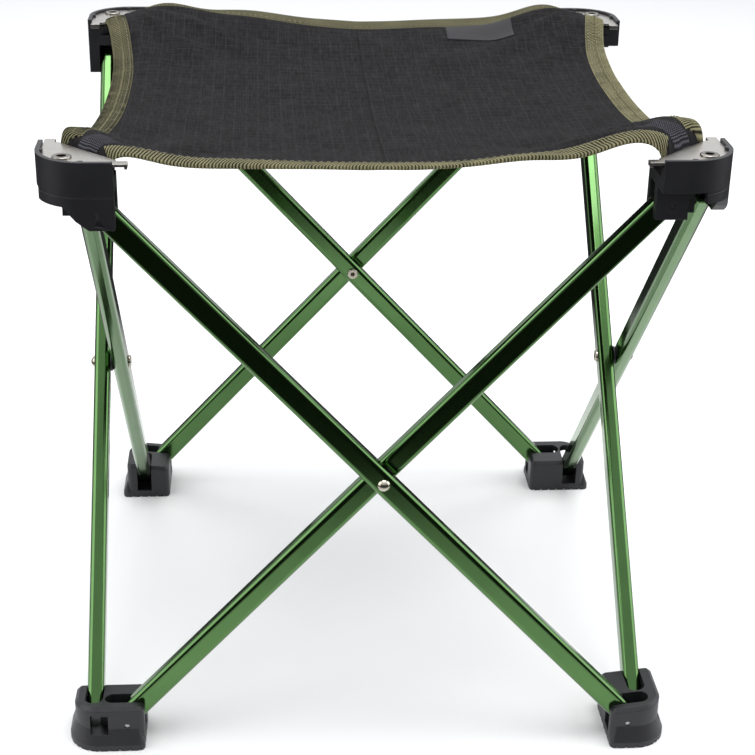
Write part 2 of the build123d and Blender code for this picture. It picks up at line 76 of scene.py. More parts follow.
class Value:
    """A shader socket that takes part in Python arithmetic by adding Math nodes."""

    def __init__(self, shade: "Shade", socket: bpy.types.NodeSocket) -> None:
        """Wraps a socket.

        Args:
            shade: the material's node tree.
            socket: the output socket to wrap.
        """
        self.shade = shade
        self.socket = socket

    def math(self, operation: str, *others: object) -> "Value":
        """A Math node of this value and others.

        Args:
            operation: the node's operation.
            others: its other inputs, values or numbers.

        Returns:
            The node's result.
        """
        return self.shade.node("ShaderNodeMath", {"operation": operation}, dict(enumerate((self, *others))))

    def __add__(self, other: object) -> "Value":
        """Sum."""
        return self.math("ADD", other)

    def __sub__(self, other: object) -> "Value":
        """Difference."""
        return self.math("SUBTRACT", other)

    def __mul__(self, other: object) -> "Value":
        """Product."""
        return self.math("MULTIPLY", other)

    def __truediv__(self, other: object) -> "Value":
        """Quotient."""
        return self.math("DIVIDE", other)

    def __pow__(self, other: object) -> "Value":
        """Power."""
        return self.math("POWER", other)

    def __rsub__(self, other: object) -> "Value":
        """Difference from a number."""
        return self.shade.node("ShaderNodeMath", {"operation": "SUBTRACT"}, {0: other, 1: self})

    __radd__ = __add__
    __rmul__ = __mul__

    def clamp(self) -> "Value":
        """The value held between 0 and 1."""
        return self.shade.node("ShaderNodeClamp", {}, {0: self})

    def wave(self, pitch: float) -> "Value":
        """A smooth wave from 0 to 1.

        Args:
            pitch: distance from crest to crest, in the value's own units.

        Returns:
            The wave.
        """
        return (self * (2 * math.pi / pitch)).math("SINE") * 0.5 + 0.5


class Shade:
    """A procedural material, or the surround's shader."""

    def __init__(self, name: str, surround: bool = False) -> None:
        """Makes an empty node tree.

        Args:
            name: its name.
            surround: whether it is the world's and not a material's.
        """
        self.owner = bpy.data.worlds.new(name) if surround else bpy.data.materials.new(name)
        self.owner.use_nodes = True
        self.tree = self.owner.node_tree
        self.tree.nodes.clear()
        self.end = "ShaderNodeOutputWorld" if surround else "ShaderNodeOutputMaterial"

    def node(self, kind: str, settings: dict, inputs: dict, output: object = 0) -> Value:
        """Adds a node.

        Args:
            kind: the node's type.
            settings: its properties; a list under "stops" sets a colour ramp.
            inputs: values or links of its sockets, by index or name.
            output: the socket to return, by index or name.

        Returns:
            The chosen output as a Value.
        """
        made = self.tree.nodes.new(kind)
        for key, value in settings.items():
            if key == "stops":
                for place, (at, colour) in enumerate(value):
                    stop = made.color_ramp.elements[place] if place < 2 else made.color_ramp.elements.new(at)
                    stop.position = at
                    stop.color = colour
            else:
                setattr(made, key, value)
        for key, value in inputs.items():
            if isinstance(value, Value):
                self.tree.links.new(value.socket, made.inputs[key])
            else:
                made.inputs[key].default_value = value
        return Value(self, made.outputs[output])

    def place(self, name: str = "Object") -> Value:
        """A coordinate of the surface: Object or UV."""
        return self.node("ShaderNodeTexCoord", {}, {}, name)

    def part(self, vector: Value, axis: str) -> Value:
        """One component of a vector."""
        return self.node("ShaderNodeSeparateXYZ", {}, {0: vector}, axis)

    def noise(self, at: Value, scale: float, detail: float = 2.0, rough: float = 0.5) -> Value:
        """A noise from 0 to 1.

        Args:
            at: the coordinate.
            scale: lumps per metre.
            detail: count of finer layers.
            rough: how strong the finer layers are.

        Returns:
            The noise.
        """
        inputs = {"Vector": at, "Scale": scale, "Detail": detail, "Roughness": rough}
        return self.node("ShaderNodeTexNoise", {}, inputs)

    def stretch(self, at: Value, scale: tuple) -> Value:
        """A coordinate scaled along its axes."""
        return self.node("ShaderNodeVectorMath", {"operation": "MULTIPLY"}, {0: at, 1: scale})

    def mix(self, share: object, first: object, second: object) -> Value:
        """A colour between two colours."""
        return self.node("ShaderNodeMix", {"data_type": "RGBA"}, {0: share, 6: first, 7: second}, 2)

    def bump(self, height: Value, distance: float, strength: float = 1.0, normal: object = None) -> Value:
        """A bumped normal.

        Args:
            height: the relief, from 0 to about 1.
            distance: how far height 1 stands out, in metres.
            strength: share of the effect.
            normal: the normal that is bumped, or None for the surface's own.

        Returns:
            The new normal.
        """
        inputs = {"Height": height, "Distance": distance, "Strength": strength}
        if normal is not None:
            inputs["Normal"] = normal
        return self.node("ShaderNodeBump", {}, inputs)

    def soft_edges(self, radius: float) -> Value:
        """A normal that rounds sharp edges by this radius, in metres."""
        return self.node("ShaderNodeBevel", {"samples": BEVEL_SAMPLES}, {"Radius": radius})

    def done(self, **sockets: object) -> bpy.types.Material:
        """Ends the material with a Principled shader.

        Args:
            sockets: the shader's inputs, with spaces as underscores.

        Returns:
            The finished material.
        """
        inputs = {key.replace("_", " "): value for key, value in sockets.items()}
        self.finish(self.node("ShaderNodeBsdfPrincipled", {}, inputs))
        return self.owner

    def finish(self, shader: Value) -> None:
        """Links a shader to the output."""
        out = self.tree.nodes.new(self.end)
        self.tree.links.new(shader.socket, out.inputs["Surface"])


def grey(level: float) -> tuple:
    """An opaque grey."""
    return (level, level, level, 1.0)


@dataclass(frozen=True)
class Anodised:
    """Green anodised aluminium tube, drawn along its length."""

    colour: tuple = (0.085, 0.19, 0.055, 1.0)
    deep: tuple = (0.062, 0.15, 0.04, 1.0)
    roughness: float = 0.12
    cloud_scale: float = 60.0
    cloud_rough: float = 0.04
    fine_scale: float = 900.0
    fine_stretch: tuple = (1.0, 1.0, 0.25)
    fine_rough: float = 0.03
    coat: float = 0.5
    coat_roughness: float = 0.06

    def material(self) -> bpy.types.Material:
        """Builds the material."""
        s = Shade("green_anodised")
        at = s.place()
        cloud = s.noise(at, self.cloud_scale, 3)
        fine = s.noise(s.stretch(at, self.fine_stretch), self.fine_scale, 2)
        rough = self.roughness + cloud * self.cloud_rough + fine * self.fine_rough
        return s.done(
            Base_Color=s.mix(cloud, self.colour, self.deep), Metallic=1.0, Roughness=rough,
            Coat_Weight=self.coat, Coat_Roughness=self.coat_roughness)


@dataclass(frozen=True)
class Nylon:
    """Black moulded nylon with a soft sheen."""

    name: str = "black_nylon"
    colour: tuple = (0.006, 0.006, 0.0075, 1.0)
    scuffed: tuple = (0.013, 0.013, 0.016, 1.0)
    roughness: float = 0.38
    cloud_scale: float = 45.0
    cloud_rough: float = 0.14
    grain: float = 0.02 * MM
    grain_scale: float = 1800.0
    grain_strength: float = 0.6
    edge: float = 0.5 * MM
    specular: float = 0.5

    def material(self) -> bpy.types.Material:
        """Builds the material."""
        s = Shade(self.name)
        at = s.place()
        cloud = s.noise(at, self.cloud_scale, 3)
        grain = s.noise(at, self.grain_scale, 2)
        bump = s.bump(grain, self.grain, self.grain_strength, s.soft_edges(self.edge))
        rough = self.roughness + cloud * self.cloud_rough
        return s.done(
            Base_Color=s.mix(cloud, self.colour, self.scuffed), Roughness=rough, Normal=bump,
            Specular_IOR_Level=self.specular)


@dataclass(frozen=True)
class Bright:
    """Bright metal: nickel plate, rivets and pins."""

    name: str = "bright_nickel"
    colour: tuple = (0.66, 0.64, 0.60, 1.0)
    dull: tuple = (0.45, 0.43, 0.40, 1.0)
    roughness: float = 0.2
    cloud_scale: float = 160.0
    cloud_rough: float = 0.12
    scratch_scale: float = 2200.0
    scratch_stretch: tuple = (1.0, 0.15, 1.0)
    scratch_rough: float = 0.08
    scratch_depth: float = 0.01 * MM
    scratch_strength: float = 0.3
    edge: float = 0.3 * MM

    def material(self) -> bpy.types.Material:
        """Builds the material."""
        s = Shade(self.name)
        at = s.place()
        cloud = s.noise(at, self.cloud_scale, 4, 0.6)
        scratch = s.noise(s.stretch(at, self.scratch_stretch), self.scratch_scale, 2)
        bump = s.bump(scratch, self.scratch_depth, self.scratch_strength, s.soft_edges(self.edge))
        rough = self.roughness + cloud * self.cloud_rough + scratch * self.scratch_rough
        return s.done(
            Base_Color=s.mix(cloud, self.colour, self.dull), Metallic=1.0, Roughness=rough, Normal=bump)


@dataclass(frozen=True)
class Ripstop:
    """Charcoal seat fabric: a plain weave with a faint reinforcing grid.

    Its UV is the sheet's plan in metres. The shares of tone are those of the weave, the warp's slubs, the
    weft's, the grid and the clouds. The shares of relief are those of the grid and the warp's slubs, beside
    the weave's full share.
    """

    dark: tuple = (0.002, 0.002, 0.0023, 1.0)
    light: tuple = (0.024, 0.023, 0.0245, 1.0)
    thread: float = 0.8 * MM
    grid: float = 5.8 * MM
    grid_power: float = 24.0
    slub_scale: float = 900.0
    slub_thin: float = 0.12
    cloud_scale: float = 55.0
    tone_shares: tuple = (0.5, 0.9, 0.8, 0.2, 0.5)
    tone_drop: float = 1.0
    bump_shares: tuple = (0.8, 0.5)
    bump_depth: float = 0.07 * MM
    bump_strength: float = 0.8
    roughness: float = 0.9
    specular: float = 0.1

    def material(self) -> bpy.types.Material:
        """Builds the material."""
        s = Shade("charcoal_ripstop")
        uv = s.place("UV")
        u, v = s.part(uv, "X"), s.part(uv, "Y")
        warp = s.noise(s.stretch(uv, (1, self.slub_thin, 1)), self.slub_scale, 2)
        weft = s.noise(s.stretch(uv, (self.slub_thin, 1, 1)), self.slub_scale, 2)
        weave = u.wave(self.thread) * 0.5 + v.wave(self.thread) * 0.5
        ribs = u.wave(self.grid) ** self.grid_power + v.wave(self.grid) ** self.grid_power
        cloud = s.noise(uv, self.cloud_scale, 3)
        of_weave, of_warp, of_weft, of_ribs, of_cloud = self.tone_shares
        tone = weave * of_weave + warp * of_warp + weft * of_weft + ribs * of_ribs + cloud * of_cloud
        tone = (tone - self.tone_drop).clamp()
        relief = weave + ribs * self.bump_shares[0] + warp * self.bump_shares[1]
        return s.done(
            Base_Color=s.mix(tone, self.dark, self.light), Roughness=self.roughness,
            Normal=s.bump(relief, self.bump_depth, self.bump_strength), Specular_IOR_Level=self.specular)


@dataclass(frozen=True)
class Grosgrain:
    """Ribbed tape. Its UV runs along the tape and across it, in metres.

    The shares of tone are those of the ribs, the fuzz, the threads across and the clouds. The ribs wander by
    a share of their pitch, and the tone rises beyond the edge on both sides.
    """

    name: str = "olive_grosgrain"
    dark: tuple = (0.006, 0.006, 0.0025, 1.0)
    light: tuple = (0.215, 0.200, 0.112, 1.0)
    pitch: float = RIB_PITCH
    slant: float = RIB_SLANT
    edge: float = 4.5 * MM
    wander_scale: float = 140.0
    wander: float = 0.9
    across_pitch: float = 0.8
    fuzz_scale: float = 1500.0
    cloud_scale: float = 70.0
    edge_rise: float = 1500.0
    tone_shares: tuple = (1.0, 0.7, 0.15, 0.5)
    tone_drop: float = 0.85
    edge_tone: float = 0.25
    fuzz_bump: float = 0.6
    bump_depth: float = 0.22 * MM
    bump_strength: float = 0.9
    roughness: float = 0.9
    specular: float = 0.12

    def material(self) -> bpy.types.Material:
        """Builds the material."""
        s = Shade(self.name)
        uv = s.place("UV")
        u, v = s.part(uv, "X"), s.part(uv, "Y")
        line = u + v * self.slant + s.noise(uv, self.wander_scale, 2) * (self.pitch * self.wander)
        ribs = line.wave(self.pitch)
        across = v.wave(self.pitch * self.across_pitch)
        fuzz = s.noise(uv, self.fuzz_scale, 2)
        cloud = s.noise(uv, self.cloud_scale, 3)
        selvedge = (v.math("ABSOLUTE") - self.edge) * self.edge_rise
        of_ribs, of_fuzz, of_across, of_cloud = self.tone_shares
        tone = ribs * of_ribs + fuzz * of_fuzz + across * of_across + cloud * of_cloud
        tone = (tone - self.tone_drop + selvedge.clamp() * self.edge_tone).clamp()
        bump = s.bump(ribs + fuzz * self.fuzz_bump, self.bump_depth, self.bump_strength)
        return s.done(
            Base_Color=s.mix(tone, self.dark, self.light), Roughness=self.roughness, Normal=bump,
            Specular_IOR_Level=self.specular)


@dataclass(frozen=True)
class Cloth:
    """Plain dark cloth for thread and label."""

    name: str
    colour: tuple
    weave: float = 0.5 * MM
    fuzz_scale: float = 700.0
    tone_shares: tuple = (0.6, 0.5)
    darker: float = 0.45
    bump_depth: float = 0.05 * MM
    bump_strength: float = 0.6
    roughness: float = 0.85

    def material(self) -> bpy.types.Material:
        """Builds the material."""
        s = Shade(self.name)
        at = s.place()
        x, y = s.part(at, "X"), s.part(at, "Y")
        weave = x.wave(self.weave) * 0.5 + y.wave(self.weave) * 0.5
        tone = weave * self.tone_shares[0] + s.noise(at, self.fuzz_scale, 2) * self.tone_shares[1]
        darker = tuple(self.darker * c for c in self.colour[:3]) + (1.0,)
        return s.done(
            Base_Color=s.mix(tone.clamp(), darker, self.colour), Roughness=self.roughness,
            Normal=s.bump(weave, self.bump_depth, self.bump_strength))


# ---------------------------------------------------------------- meshes

def put(
        name: str, points: np.ndarray, faces: np.ndarray, uv: np.ndarray = None,
        smooth: object = True) -> bpy.types.Object:
    """Makes an object of four-sided faces.

    Args:
        name: the piece's name.
        points: vertices, one row each, in metres.
        faces: corner indices, four to a row.
        uv: one row of two for each vertex, or None.
        smooth: whether the faces are shaded smooth, for all or one by one.

    Returns:
        The new object, at the origin.
    """
    mesh = bpy.data.meshes.new(name)
    mesh.vertices.add(len(points))
    mesh.vertices.foreach_set("co", np.ascontiguousarray(points, dtype=np.float32).ravel())
    mesh.loops.add(faces.size)
    mesh.loops.foreach_set("vertex_index", np.ascontiguousarray(faces, dtype=np.int32).ravel())
    mesh.polygons.add(len(faces))
    mesh.polygons.foreach_set("loop_start", np.arange(0, faces.size, 4, dtype=np.int32))
    mesh.polygons.foreach_set("use_smooth", np.broadcast_to(smooth, len(faces)).copy())
    if uv is not None:
        layer = mesh.uv_layers.new(name="flat")
        layer.data.foreach_set("uv", np.ascontiguousarray(uv[faces.ravel()], dtype=np.float32).ravel())
    mesh.update(calc_edges=True)
    mesh.validate()
    made = bpy.data.objects.new(name, mesh)
    bpy.context.scene.collection.objects.link(made)
    return made


def grid_faces(rows: int, columns: int, wrap: bool = False) -> np.ndarray:
    """Corner indices of a grid of vertices, row by row.

    Args:
        rows, columns: the grid's size.
        wrap: whether each row closes into a ring.

    Returns:
        One face in each row, four columns.
    """
    index = np.arange(rows * columns).reshape(rows, columns)
    across = np.concatenate([index, index[:, :1]], axis=1) if wrap else index
    faces = np.stack([across[:-1, :-1], across[:-1, 1:], across[1:, 1:], across[1:, :-1]], axis=-1)
    return faces.reshape(-1, 4)


def tube_faces(rows: int, around: int) -> np.ndarray:
    """Corner indices of a tube of rings, both ends closed by a ladder of faces.

    Args:
        rows: count of rings.
        around: count of vertices in each ring, an even number.

    Returns:
        One face in each row, four columns.
    """
    step = np.arange(around // 2 - 1)
    ladder = np.stack([step, step + 1, around - 2 - step, around - 1 - step], axis=-1)
    last = ladder + (rows - 1) * around
    return np.concatenate([grid_faces(rows, around, wrap=True), ladder[:, ::-1], last])


def slab(top: np.ndarray, bottom: np.ndarray, uv: np.ndarray) -> tuple:
    """A closed sheet between two grids of the same shape: both grids and a strip round their border.

    Args:
        top: rows x columns x 3, seen anticlockwise from above.
        bottom: the same for the under side.
        uv: rows x columns x 2.

    Returns:
        Points, faces, UV and which faces are smooth: all but the border's.
    """
    rows, columns = top.shape[:2]
    count = rows * columns
    index = np.arange(count).reshape(rows, columns)
    ring = np.concatenate([index[0, :-1], index[:-1, -1], index[-1, :0:-1], index[:0:-1, 0]])
    after = np.roll(ring, -1)
    upper = grid_faces(rows, columns)
    side = np.stack([ring, ring + count, after + count, after], axis=-1)
    lower = upper[:, ::-1] + count
    points = np.concatenate([top.reshape(-1, 3), bottom.reshape(-1, 3)])
    smooth = np.repeat([True, False, True], [len(upper), len(side), len(lower)])
    return points, np.concatenate([upper, side, lower]), np.concatenate([uv.reshape(-1, 2)] * 2), smooth


def outward(made: bpy.types.Object) -> bpy.types.Object:
    """Turns a closed piece's faces outwards by the sign of its volume."""
    mesh = made.data
    mesh.calc_loop_triangles()
    points = np.empty(len(mesh.vertices) * 3)
    mesh.vertices.foreach_get("co", points)
    points = points.reshape(-1, 3) - points.reshape(-1, 3).mean(0)
    corners = np.empty(len(mesh.loop_triangles) * 3, dtype=np.int32)
    mesh.loop_triangles.foreach_get("vertices", corners)
    a, b, c = (points[corners.reshape(-1, 3)[:, k]] for k in range(3))
    if np.einsum("ij,ij->i", a, np.cross(b, c)).sum() < 0:
        mesh.flip_normals()
    return made


def arc_length(points: np.ndarray) -> np.ndarray:
    """Distance along a polyline at each of its points."""
    return np.concatenate([[0.0], np.cumsum(np.linalg.norm(np.diff(points, axis=0), axis=1))])


# ---------------------------------------------------------------- seat

@dataclass(frozen=True)
class SeatShape:
    """The stretched seat's surface: a plan with four concave edges and cut corners, and its height.

    Corners are counted anticlockwise from the front left, as elsewhere. Distances are in metres. Each lift is
    a low hill: its x, y, height and reach. Each ripple has a height, a pitch, a bend and the bend's pitch.
    """

    tip: tuple = (119.5 * MM, 142.5 * MM)
    edge_mid: dict = field(default_factory=lambda: {
        "front": 128.0 * MM, "right": 132.5 * MM, "rear": 134.0 * MM, "left": 131.5 * MM})
    edge_power: float = 2.6
    plate_sum: float = 260.0 * MM
    level: float = 303.05 * MM
    half: float = 135.0 * MM
    side_sag: float = 8.0 * MM
    both_sag: float = 3.0 * MM
    front_sag: tuple = (9.0 * MM, 2.8 * MM, 5.2 * MM)
    sag_reach: float = 125.0 * MM
    sag_limit: float = 1.1
    arch: tuple = (7.2 * MM, 13.5 * MM, 8.4 * MM, 8.6 * MM)
    arch_reach: tuple = (40.0 * MM, 64.0 * MM, 56.0 * MM, 78.0 * MM)
    arch_lean: tuple = (-0.4, 0.05, 0.0, 0.0)
    arch_width: float = 31.0 * MM
    lean_width: float = 25.0 * MM
    dive: float = 3.5 * MM
    fold_height: float = 0.95 * MM
    fold_centre: float = 135.0 * MM
    fold_peak: float = 62.0 * MM
    fold_width: float = 42.0 * MM
    fold_start: float = 20.0 * MM
    fold_waves: tuple = (11, 2)
    fold_shift: float = 0.8
    lifts: tuple = (
        (64.0 * MM, -130.0 * MM, 4.2 * MM, 25.0 * MM),
        (-66.0 * MM, 134.0 * MM, 4.8 * MM, 30.0 * MM),
        (6.0 * MM, 134.0 * MM, -1.8 * MM, 26.0 * MM))
    ripples: tuple = (
        (0.5 * MM, 13.0 * MM, 2.1, 60.0 * MM),
        (0.35 * MM, 17.0 * MM, -1.2, 45.0 * MM))
    outline_points: int = 90

    def edge(self, panel: str, along: np.ndarray) -> np.ndarray:
        """Plan of one outer edge: a power curve from tip to tip, turned to its panel.

        Args:
            panel: front, right, rear or left.
            along: positions from -1 to 1, anticlockwise from above.

        Returns:
            Two columns, x and y.
        """
        k = PANELS.index(panel)
        mid = self.edge_mid[panel]
        x = along * self.tip[0]
        y = -(mid + (self.tip[1] - mid) * np.abs(along) ** self.edge_power)
        turn = k * math.pi / 2
        return np.stack([
            x * math.cos(turn) - y * math.sin(turn), x * math.sin(turn) + y * math.cos(turn)], axis=-1)

    def height(self, x: np.ndarray, y: np.ndarray) -> np.ndarray:
        """Height of the middle of the cloth.

        The sheet hangs as two crossed parabolas between its corners. The front edge sags more than the rear
        one. At each corner it arches up in front of the plate and meets it at the plate's level, and shallow
        folds fan out of the corner. Round low hills lift or lower stretches of the edges, and faint ripples
        cross the sheet.

        Args:
            x, y: plan positions.

        Returns:
            Heights of the same shape.
        """
        fx = 1 - (x / self.half) ** 2
        fy = 1 - (y / self.half) ** 2
        back = np.clip(y / self.sag_reach, -self.sag_limit, self.sag_limit)
        even, slope, curve = self.front_sag
        sag = (even - slope * back - curve * back ** 2) * fx
        z = self.level - sag - self.side_sag * fy + self.both_sag * fx * fy
        for k, rise in enumerate(self.arch):
            turn = k * math.pi / 2
            cx, cy = math.cos(turn), math.sin(turn)
            lx, ly = x * cx + y * cy, -x * cy + y * cx
            inward = (self.plate_sum + lx + ly) / math.sqrt(2)
            sideways = (lx - ly) / math.sqrt(2)
            share = np.clip(inward / self.arch_reach[k], 0, 1)
            lean = 1 + self.arch_lean[k] * sideways / self.lean_width
            bump = np.sin(math.pi * np.sqrt(share)) * np.exp(-(sideways / self.arch_width) ** 4) * lean
            near = np.exp(-np.clip(inward, 0, None) / self.dive)
            z = z * (1 - near) + self.level * near + rise * bump
            away = np.hypot(lx + self.fold_centre, ly + self.fold_centre)
            angle = np.arctan2(ly + self.fold_centre, lx + self.fold_centre) - math.pi / 4
            waves = self.fold_waves[0] + self.fold_waves[1] * k
            band = np.exp(-((away - self.fold_peak) / self.fold_width) ** 2)
            fold = np.cos(angle * waves + self.fold_shift * k) * band
            z = z + self.fold_height * fold * np.clip(inward / self.fold_start, 0, 1)
        for mx, my, rise, reach in self.lifts:
            z = z + rise * np.exp(-((x - mx) ** 2 + (y - my) ** 2) / reach ** 2)
        for (rise, pitch, bend, bend_pitch), (p, q) in zip(self.ripples, ((y, x), (x, y))):
            z = z + rise * np.sin(p / pitch + bend * np.sin(q / bend_pitch)) * fx * fy
        return z

    def half_plan(self, side: Side, rows: int, columns: int, inset: float) -> np.ndarray:
        """Grid over half of the seat: a Coons patch between the fold line, two half edges and the outer side.

        Args:
            side: which half.
            rows: count from front to rear.
            columns: count from the fold line outwards.
            inset: how far the cloth ends inside the tape's outer edge.

        Returns:
            rows x columns x 2.
        """
        sign = side.value
        u = np.linspace(0, 1, columns)
        v = np.linspace(0, 1, rows)
        front = self.edge("front", u * sign) + [0, inset]
        rear = self.edge("rear", -u * sign) - [0, inset]
        outer = self.edge(side.word, np.linspace(-1, 1, self.outline_points) * sign) - [sign * inset, 0]
        line = np.concatenate([front[-1:], outer, rear[-1:]])
        reach = arc_length(line)
        outer = np.stack([np.interp(v * reach[-1], reach, line[:, k]) for k in (0, 1)], axis=-1)
        fold = np.stack([np.zeros(rows), np.interp(v, [0, 1], [front[0, 1], rear[0, 1]])], axis=-1)
        uu, vv = u[None, :, None], v[:, None, None]
        ruled = (1 - vv) * front[None] + vv * rear[None] + (1 - uu) * fold[:, None] + uu * outer[:, None]
        corners = (
            (1 - uu) * (1 - vv) * front[0] + uu * (1 - vv) * front[-1]
            + (1 - uu) * vv * rear[0] + uu * vv * rear[-1])
        return ruled - corners


@dataclass
class Seat:
    """The fabric seat: two halves of ripstop, their tape and stitches, the corner webbing and a label."""

    shape: SeatShape
    cloth: bpy.types.Material
    tape: bpy.types.Material
    webbing: bpy.types.Material
    thread: bpy.types.Material
    label_cloth: bpy.types.Material
    cloth_grid: tuple = (170, 84)
    cloth_thickness: float = 0.5 * MM
    cloth_inset: float = 1.6 * MM
    tuck: float = 0.5 * MM
    tuck_reach: float = 2.5 * MM
    tuck_slope: float = 0.25
    tape_step: float = 0.36 * MM
    tape_around: int = 26
    tape_width: float = 10.6 * MM
    tape_thickness: float = 2.9 * MM
    tape_powers: tuple = (0.8, 0.6)
    tape_inner: float = 0.5
    tape_overhang: float = 0.3 * MM
    tape_wobble: tuple = (0.14, 9.0 * MM, 1.3, 23.0 * MM)
    thin_share: float = 0.26
    thin_reach: float = 3.0 * MM
    rib_height: float = 0.09 * MM
    stitch_pitch: float = 3.0 * MM
    stitch_end: float = 0.9
    stitch_inset: float = 2.0 * MM
    stitch_lift: float = 1.0 * MM
    bead_half: tuple = (0.95 * MM, 0.24 * MM)
    bead_count: int = 6
    bead_tip: float = 0.02
    webbing_grid: tuple = (40, 100)
    webbing_width: float = 12.2 * MM
    webbing_length: tuple = (13.0 * MM, 17.0 * MM, 9.0 * MM, 9.0 * MM)
    webbing_under: float = 5.5 * MM
    webbing_pitch: float = 1.75 * MM
    webbing_rib: float = 0.4 * MM
    webbing_lift: tuple = (0.2 * MM, 0.15 * MM)
    webbing_rise: float = 4.0 * MM
    webbing_thickness: float = 0.5 * MM
    label_grid: tuple = (31, 15)
    label_size: tuple = (38.0 * MM, 19.0 * MM)
    label_at: tuple = (70.0 * MM, 113.0 * MM)
    label_lift: float = 0.75 * MM
    label_thickness: float = 0.35 * MM
    fold_anchor: tuple = (0.0, -124.5 * MM, 300.0 * MM)
    fold_keep: float = 0.12

    def dress(
            self, made: bpy.types.Object, material: bpy.types.Material, slot: str,
            side: Side) -> bpy.types.Object:
        """Gives a seat piece its finish and its body.

        Args:
            made: the piece.
            material: its finish.
            slot: the record's material slot; not used.
            side: the half that it belongs to.

        Returns:
            The same piece.
        """
        made.data.materials.append(material)
        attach(made, f"seat_{side.word}")
        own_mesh(made)
        LOG.info("piece %s, %d faces", made.name, len(made.data.polygons))
        return made

    def fabric(self, side: Side) -> bpy.types.Object:
        """Half of the sheet, with its thickness. The left half's inner border tucks under the right one's.

        Args:
            side: which half.

        Returns:
            The finished piece.
        """
        plan = self.shape.half_plan(side, *self.cloth_grid, self.cloth_inset)
        x, y = plan[..., 0], plan[..., 1]
        z = self.shape.height(x, y)
        if side is Side.LEFT:
            tuck = np.clip(1 + x / self.tuck_reach, 0, 1)
            x = x + self.tuck * tuck
            z = self.shape.height(x, y) - self.tuck * tuck * self.tuck_slope
        half = self.cloth_thickness / 2
        top = np.stack([x, y, z + half], axis=-1)
        bottom = np.stack([x, y, z - half], axis=-1)
        if side is Side.LEFT:
            top, bottom, plan = top[:, ::-1], bottom[:, ::-1], plan[:, ::-1]
        made = outward(put(f"seat_fabric_{side.word}", *slab(top, bottom, plan)))
        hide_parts(f"seat_panel_{side.word}", *([] if side is Side.LEFT else ["seat_label"]))
        return self.dress(made, self.cloth, "charcoal_canvas", side)

    def tape_frame(self, panel: str, start: float, end: float, count: int) -> tuple:
        """Plan of a stretch of tape.

        Args:
            panel: the edge it is on.
            start, end: positions along the edge, from -1 to 1.
            count: points along it.

        Returns:
            Outer edge, unit inward normals and distance along, for each point.
        """
        along = np.linspace(start, end, count)
        edge = self.shape.edge(panel, along)
        step = np.gradient(edge, axis=0)
        step /= np.linalg.norm(step, axis=1, keepdims=True)
        inward = np.stack([-step[:, 1], step[:, 0]], axis=-1)
        inward *= np.sign(-np.sum(inward * edge, axis=1, keepdims=True))
        return edge, inward, arc_length(edge)

    def tape_stretch(
            self, name: str, panel: str, start: float, end: float, side: Side,
            node: str) -> bpy.types.Object:
        """A stretch of folded tape: a flattened oval profile, fuller at its outer fold, draped on the edge.

        The profile is a superellipse. It thins towards the plates, and every rib stands out a little.

        Args:
            name: the piece's name.
            panel: the edge it is on.
            start, end: positions along the edge.
            side: the half that it rides with.
            node: the CAD node that it stands for.

        Returns:
            The finished piece.
        """
        length = abs(end - start) * self.shape.tip[0]
        count = int(length / self.tape_step)
        around = self.tape_around
        edge, inward, reach = self.tape_frame(panel, start, end, count)
        phase = np.linspace(0, 2 * math.pi, around, endpoint=False)
        cos, sin = np.cos(phase), np.sin(phase)
        across = np.sign(cos) * np.abs(cos) ** self.tape_powers[0] * self.tape_width / 2
        full = self.tape_inner + (1 - self.tape_inner) * (1 - cos) / 2
        up = np.sign(sin) * np.abs(sin) ** self.tape_powers[1] * self.tape_thickness / 2 * full
        centre = self.tape_width / 2 - self.tape_overhang
        rib = np.cos(2 * math.pi * (reach[:, None] + RIB_SLANT * across[None]) / RIB_PITCH)
        share, pitch, bend, bend_pitch = self.tape_wobble
        wobble = 1 + share * np.sin(reach / pitch + bend * np.sin(reach / bend_pitch))
        plan = edge[:, None] + inward[:, None] * (centre + across)[None, :, None]
        gap = self.shape.plate_sum - np.abs(plan).sum(-1)
        thin = self.thin_share + (1 - self.thin_share) * np.clip(gap / self.thin_reach, 0, 1)
        out = up[None] * (wobble[:, None] * thin) + np.sign(up)[None] * rib * self.rib_height * thin
        z = self.shape.height(plan[..., 0], plan[..., 1]) + out
        points = np.concatenate([plan, z[..., None]], axis=-1)
        uv = np.stack(np.broadcast_arrays(reach[:, None], across[None]), axis=-1)
        faces = tube_faces(count, around)
        smooth = np.arange(len(faces)) < (count - 1) * around
        made = outward(put(name, points.reshape(-1, 3), faces, uv.reshape(-1, 2), smooth))
        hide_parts(node)
        return self.dress(made, self.tape, "olive_grosgrain", side)

